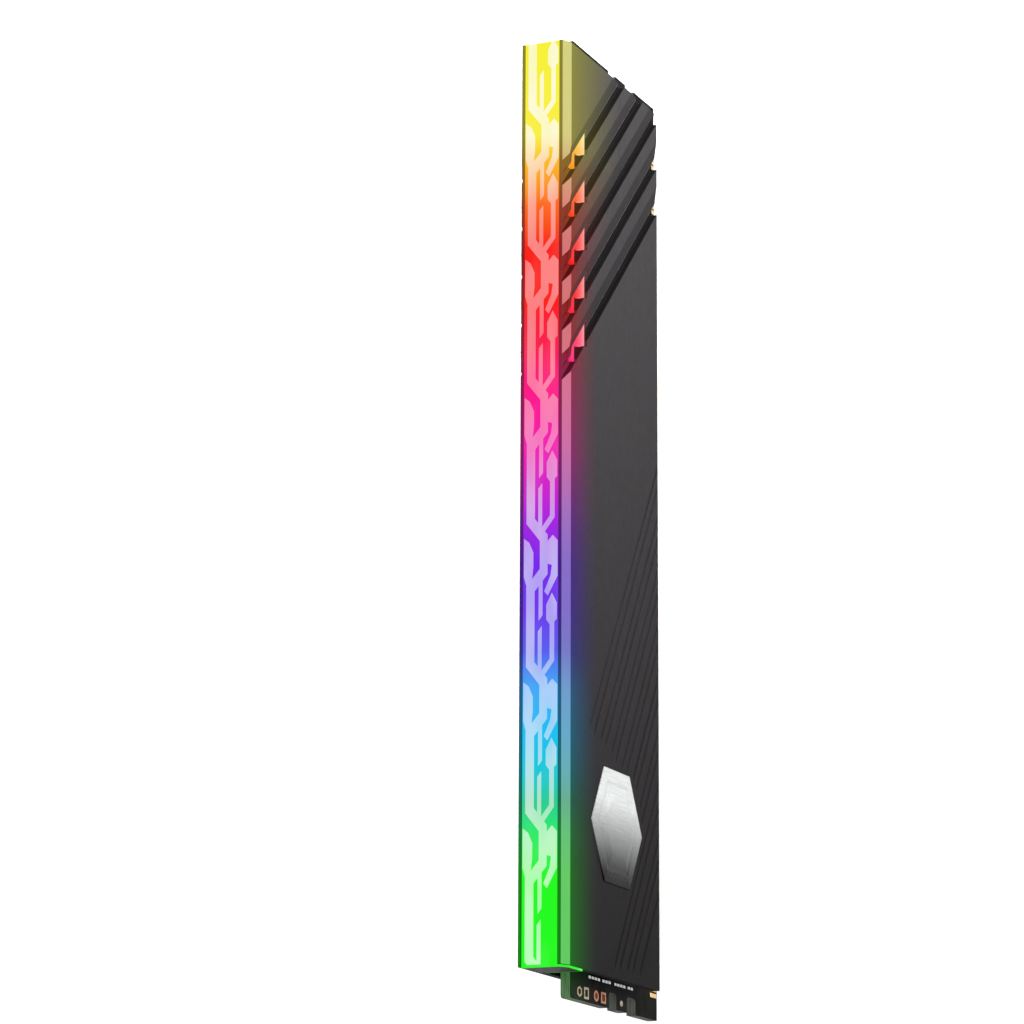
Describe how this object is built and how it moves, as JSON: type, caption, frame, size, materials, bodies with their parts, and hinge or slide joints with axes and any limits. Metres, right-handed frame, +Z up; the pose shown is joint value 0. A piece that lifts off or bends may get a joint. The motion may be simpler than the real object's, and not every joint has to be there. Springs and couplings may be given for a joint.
{
  "type": "ram module",
  "caption": "Desktop memory module on a thin card with an edge connector, dark finned heat spreader sheets, and a translucent rainbow light bar along its top edge.",
  "frame": {"origin": "middle of the card edge's lowest run, on the centre plane of the circuit board", "axes": "+X along the module towards the end with the diagonal steps, +Y through the thickness towards the back sheet, +Z up from the card edge to the light bar"},
  "size_m": [0.1334, 0.0084, 0.04],
  "materials": {
    "solder_mask": "black satin solder mask over glass laminate",
    "gold_plate": "thin gold plating",
    "chip_body": "black moulded epoxy",
    "resistor_ceramic": "dark glazed ceramic",
    "capacitor_ceramic": "tan ceramic",
    "led_lens": "clear resin over white body",
    "thermal_silicone": "soft grey silicone",
    "anodised_aluminium": "dark grey satin anodised",
    "light_diffuser": "milky translucent, lit from inside",
    "pattern_film": "white translucent print, lit from inside",
    "silver_badge": "bright satin silver"
  },
  "bodies": {
    "root": {"badge_back": "silver_badge", "badge_front": "silver_badge", "capacitor_1": "capacitor_ceramic", "capacitor_2": "capacitor_ceramic", "capacitor_3": "capacitor_ceramic", "capacitor_4": "capacitor_ceramic", "capacitor_5": "capacitor_ceramic", "capacitor_6": "capacitor_ceramic", "capacitor_7": "capacitor_ceramic", "capacitor_8": "capacitor_ceramic", "circuit_board": "solder_mask", "contacts_back_long": "gold_plate", "contacts_back_short": "gold_plate", "contacts_front_long": "gold_plate", "contacts_front_short": "gold_plate", "dram_chip_1": "chip_body", "dram_chip_2": "chip_body", "dram_chip_3": "chip_body", "dram_chip_4": "chip_body", "dram_chip_5": "chip_body", "dram_chip_6": "chip_body", "dram_chip_7": "chip_body", "dram_chip_8": "chip_body", "heat_spreader_back": "anodised_aluminium", "heat_spreader_front": "anodised_aluminium", "led_1": "led_lens", "led_2": "led_lens", "led_3": "led_lens", "led_4": "led_lens", "led_5": "led_lens", "led_6": "led_lens", "led_7": "led_lens", "led_8": "led_lens", "led_controller": "chip_body", "light_bar_diffuser": "light_diffuser", "light_bar_end_cap": "light_diffuser", "light_pattern_film": "pattern_film", "mark_dot": "gold_plate", "mark_hexagon": "gold_plate", "mark_oblong": "gold_plate", "mark_round": "gold_plate", "mark_square": "gold_plate", "resistor_pack_1": "resistor_ceramic", "resistor_pack_2": "resistor_ceramic", "resistor_pack_3": "resistor_ceramic", "resistor_pack_4": "resistor_ceramic", "resistor_pack_5": "resistor_ceramic", "resistor_pack_6": "resistor_ceramic", "resistor_pack_7": "resistor_ceramic", "resistor_pack_8": "resistor_ceramic", "spd_chip": "chip_body", "thermal_pad_back": "thermal_silicone", "thermal_pad_front": "thermal_silicone", "window_light_back": "light_diffuser", "window_light_front": "light_diffuser"}
  },
  "joints": []
}
